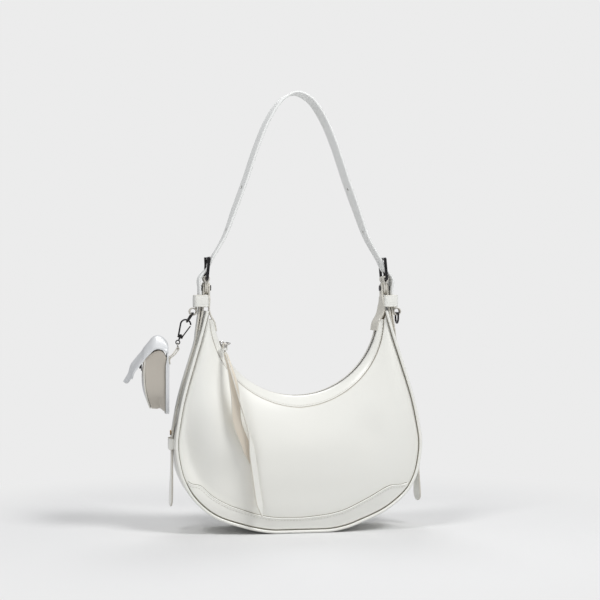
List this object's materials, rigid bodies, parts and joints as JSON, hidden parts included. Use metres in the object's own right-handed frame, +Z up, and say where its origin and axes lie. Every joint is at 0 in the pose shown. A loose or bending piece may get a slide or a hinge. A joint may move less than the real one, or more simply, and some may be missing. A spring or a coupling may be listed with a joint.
{
  "type": "shoulder bag",
  "caption": "Half moon shoulder bag with buckled strap, long zip pull, side belts and a small flap pouch on a snap hook.",
  "frame": {"origin": "middle of the flat stretch of the base, on the surface that the bag stands on", "axes": "+X from the left tip to the right tip, -Y out of the front panel, +Z up to the strap"},
  "size_m": [0.3154, 0.0863, 0.4532],
  "materials": {
    "leather": "smooth semi-gloss",
    "gunmetal": "polished dark plating",
    "nickel": "polished",
    "zip_teeth": "satin",
    "brass": "polished",
    "zip_tape": "woven",
    "lining": "woven"
  },
  "bodies": {
    "bag": {"front_panel": "leather", "rear_panel": "leather", "side_gusset": "leather", "front_facing": "leather", "rear_facing": "leather", "front_piping": "leather", "rear_piping": "leather", "front_base_trim": "leather", "rear_base_trim": "leather", "front_lining": "lining", "rear_lining": "lining", "inner_pocket": "lining", "front_zip_tape": "zip_tape", "rear_zip_tape": "zip_tape", "front_zip_teeth": "zip_teeth", "rear_zip_teeth": "zip_teeth", "zip_stops": "zip_teeth", "left_inner_tab": "leather", "right_inner_tab": "leather", "left_outer_tab": "leather", "right_outer_tab": "leather", "left_tip_keeper": "leather", "right_tip_keeper": "leather", "left_rivet": "gunmetal", "right_rivet": "gunmetal", "left_ring_loop": "leather", "right_ring_loop": "leather", "left_side_belt": "leather", "right_side_belt": "leather", "left_belt_keeper": "leather", "right_belt_keeper": "leather", "belt_studs": "brass"},
    "strap": {"left_buckle_tab": "leather", "right_buckle_tab": "leather", "left_buckle": "gunmetal", "right_buckle": "gunmetal", "shoulder_strap": "leather"},
    "left_prong": {"left_prong": "gunmetal"},
    "right_prong": {"right_prong": "gunmetal"},
    "left_belt_tail": {"left_belt_tail": "leather"},
    "right_belt_tail": {"right_belt_tail": "leather"},
    "left_dee": {"left_dee_ring": "gunmetal"},
    "right_dee": {"right_dee_ring": "gunmetal"},
    "slider": {"zip_slider": "nickel", "pull_ring": "nickel"},
    "pull_hang": {"pull_knot": "leather"},
    "pull": {"pull_long_tail": "leather", "pull_short_tail": "leather"},
    "hook": {"hook_frame": "gunmetal"},
    "gate": {"hook_gate": "gunmetal"},
    "swivel": {"hook_swivel": "gunmetal"},
    "link": {"pouch_link": "nickel"},
    "pouch": {"pouch_tab": "leather", "pouch_back": "leather", "pouch_front": "leather", "pouch_gusset": "leather", "pouch_piping": "leather", "snap_stud": "nickel"},
    "flap": {"pouch_flap": "leather", "snap_cap": "gunmetal"}
  },
  "joints": [
    {"name": "strap_swing", "type": "hinge", "parent": "bag", "child": "strap", "pos_m": [0, 0, 0.2495], "axis": [1, 0, 0], "range_deg": [-50, 50]},
    {"name": "left_prong_turn", "type": "hinge", "parent": "strap", "child": "left_prong", "pos_m": [-0.09398, 0, 0.25895], "axis": [0, -1, 0], "range_deg": [0, 8]},
    {"name": "left_belt_tail_bend", "type": "hinge", "parent": "bag", "child": "left_belt_tail", "pos_m": [-0.12918, 0, 0.08266], "axis": [0, 1, 0], "range_deg": [0, 75]},
    {"name": "right_prong_turn", "type": "hinge", "parent": "strap", "child": "right_prong", "pos_m": [0.09398, 0, 0.25895], "axis": [0, 1, 0], "range_deg": [0, 8]},
    {"name": "right_belt_tail_bend", "type": "hinge", "parent": "bag", "child": "right_belt_tail", "pos_m": [0.12918, 0, 0.08266], "axis": [0, -1, 0], "range_deg": [0, 75]},
    {"name": "left_dee_swing", "type": "hinge", "parent": "bag", "child": "left_dee", "pos_m": [-0.10791, 0, 0.22341], "axis": [0, 1, 0], "range_deg": [0, 35]},
    {"name": "right_dee_swing", "type": "hinge", "parent": "bag", "child": "right_dee", "pos_m": [0.10791, 0, 0.22341], "axis": [0, -1, 0], "range_deg": [0, 80]},
    {"name": "zip_slide", "type": "hinge", "parent": "bag", "child": "slider", "pos_m": [0, 0, 0.225], "axis": [0, -1, 0], "range_deg": [0, 132]},
    {"name": "pull_hang", "type": "hinge", "parent": "slider", "child": "pull_hang", "pos_m": [-0.07672, -0.019, 0.19084], "axis": [0, -1, 0], "range_deg": [-132, 0]},
    {"name": "pull_lift", "type": "hinge", "parent": "pull_hang", "child": "pull", "pos_m": [-0.07672, -0.019, 0.18404], "axis": [-1, 0, 0], "range_deg": [0, 45]},
    {"name": "hook_swing", "type": "hinge", "parent": "left_dee", "child": "hook", "pos_m": [-0.11363, 0, 0.2146], "axis": [0, 1, 0], "range_deg": [0, 30]},
    {"name": "gate_open", "type": "hinge", "parent": "hook", "child": "gate", "pos_m": [-0.11818, 0, 0.19939], "axis": [0, -1, 0], "range_deg": [0, 16], "stiffness_Nm_per_rad": 0.0015, "springref_deg": -5.73},
    {"name": "swivel_turn", "type": "hinge", "parent": "hook", "child": "swivel", "pos_m": [-0.12296, 0, 0.19364], "axis": [-0.4067, 0, -0.9135], "range_deg": [-6, 6]},
    {"name": "link_swing", "type": "hinge", "parent": "swivel", "child": "link", "pos_m": [-0.12296, 0, 0.19364], "axis": [0, 1, 0], "range_deg": [0, 25]},
    {"name": "pouch_sway", "type": "hinge", "parent": "link", "child": "pouch", "pos_m": [-0.12296, 0, 0.18973], "axis": [1, 0, 0], "range_deg": [-20, 20]},
    {"name": "flap_open", "type": "hinge", "parent": "pouch", "child": "flap", "pos_m": [-0.133, 0, 0.18818], "axis": [0.0698, 0.9976, 0], "range_deg": [0, 55]}
  ],
  "couplings": [
    {"joint": "pull_hang", "follows": "zip_slide", "ratio": -1}
  ]
}
